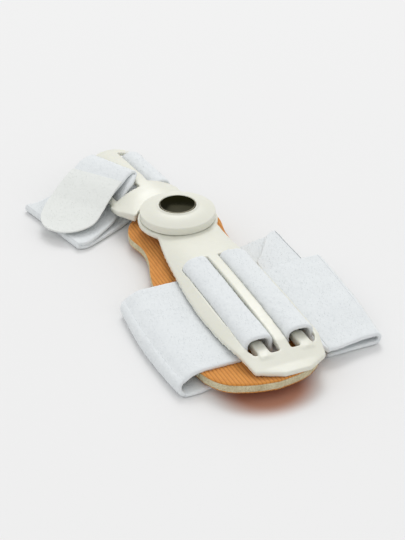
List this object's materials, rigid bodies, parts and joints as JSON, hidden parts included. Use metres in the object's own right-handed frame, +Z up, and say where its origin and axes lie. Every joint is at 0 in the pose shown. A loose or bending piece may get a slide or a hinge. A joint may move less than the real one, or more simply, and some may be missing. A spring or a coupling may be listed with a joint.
{
  "type": "bunion corrector splint",
  "caption": "Hinged bunion splint lying open: arched plastic plate with windows, swinging toe arm, ribbed cloth and foam pad, and plush straps wrapped round the plate and the arm.",
  "frame": {"origin": "on the wide strap's resting face, straight below the middle of the plate's windows", "axes": "+Y along the plate from the heel end towards the toe, +X to the right with the hinge disc up, +Z up"},
  "size_m": [0.1004, 0.1826, 0.0196],
  "materials": {
    "cream_plastic": "satin moulded",
    "dark_mirror": "near-black mirror",
    "tan_ribbed_cloth": "fine cord ribs along the pad",
    "cream_foam": "cut foam edge",
    "white_plush": "short loop pile",
    "hook_tape": "smooth hook tape"
  },
  "bodies": {
    "splint": {"main_plate": "cream_plastic", "hinge_disc": "cream_plastic", "hinge_cap": "dark_mirror", "hinge_pin": "cream_plastic", "pad_top_cover": "tan_ribbed_cloth", "pad_foam": "cream_foam", "pad_bottom_cover": "tan_ribbed_cloth", "wide_strap": "white_plush"},
    "arm": {"toe_arm": "cream_plastic", "toe_strap": "white_plush", "toe_tab": "hook_tape"}
  },
  "joints": [
    {"name": "toe_arm_swing", "type": "hinge", "parent": "splint", "child": "arm", "pos_m": [0, 0.0673, 0.0097], "axis": [0, 0, 1], "range_deg": [-20, 10]}
  ]
}
